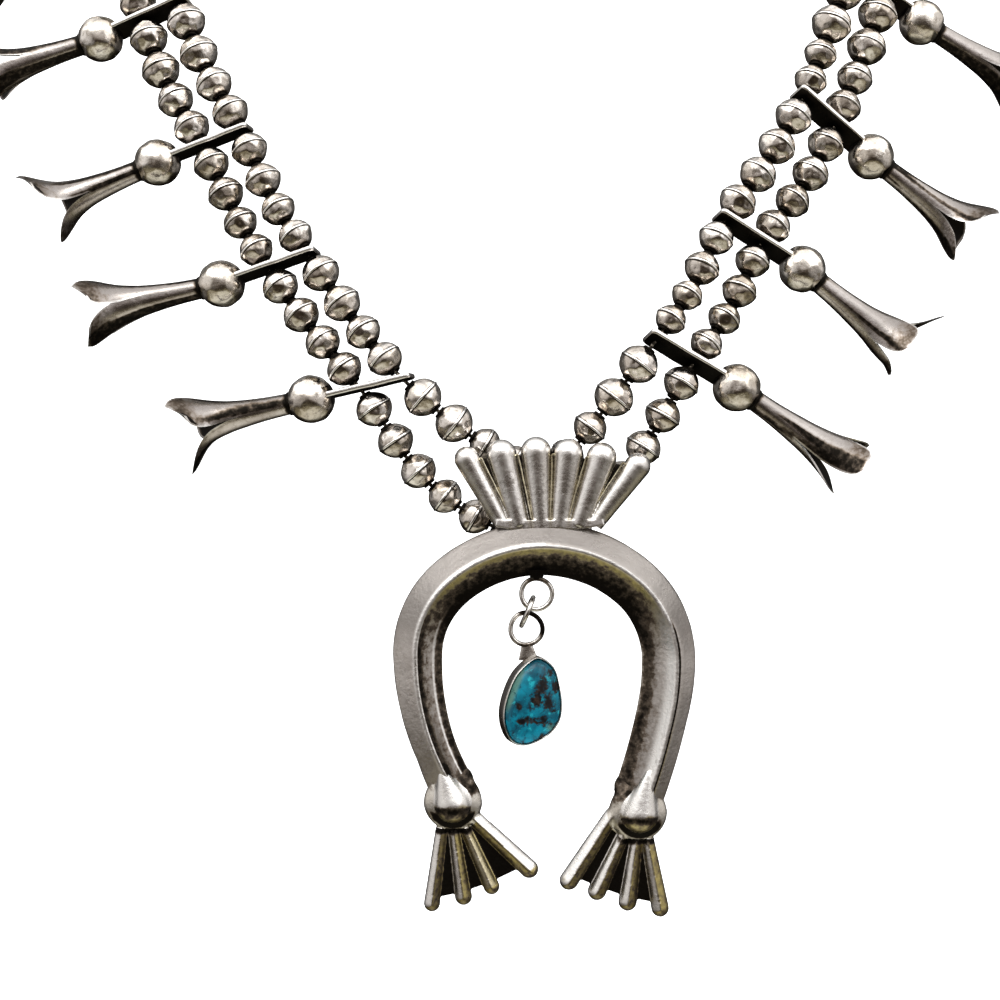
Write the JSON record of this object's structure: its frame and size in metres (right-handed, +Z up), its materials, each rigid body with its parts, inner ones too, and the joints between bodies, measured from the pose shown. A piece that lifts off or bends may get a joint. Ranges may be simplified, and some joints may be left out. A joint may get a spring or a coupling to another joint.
{
  "type": "squash blossom necklace",
  "caption": "Double-strand silver bead necklace with squash blossoms and a cast horseshoe naja that holds a small turquoise drop, kept in its worn form.",
  "frame": {"origin": "middle of the clasp's neck side, where the necklace lies on the nape", "axes": "+X to the viewer's right when the necklace is seen from the front, +Y from the chest back to the nape, +Z up"},
  "size_m": [0.2537, 0.1466, 0.2561],
  "materials": {
    "cast_silver": "satin cast silver with dark tarnish in its grooves",
    "blossom_silver": "worn polished silver",
    "bead_silver": "worn polished silver with a dark line at each seam",
    "thread_silver": "tarnished foxtail",
    "drop_silver": "polished silver, darker in its corners",
    "clasp_silver": "plain satin silver",
    "turquoise": "polished blue-green stone with a black-brown matrix"
  },
  "bodies": {
    "root": {"naja": "cast_silver", "drop_jump_ring": "drop_silver", "drop_bezel": "drop_silver", "drop_stone": "turquoise", "blossom_l1": "blossom_silver", "blossom_l2": "blossom_silver", "blossom_l3": "blossom_silver", "blossom_l4": "blossom_silver", "blossom_l5": "blossom_silver", "blossom_r1": "blossom_silver", "blossom_r2": "blossom_silver", "blossom_r3": "blossom_silver", "blossom_r4": "blossom_silver", "blossom_r5": "blossom_silver", "beads_inner_left": "bead_silver", "beads_inner_right": "bead_silver", "beads_outer_left": "bead_silver", "beads_outer_right": "bead_silver", "thread_inner": "thread_silver", "thread_outer": "thread_silver", "clasp": "clasp_silver"}
  },
  "joints": []
}
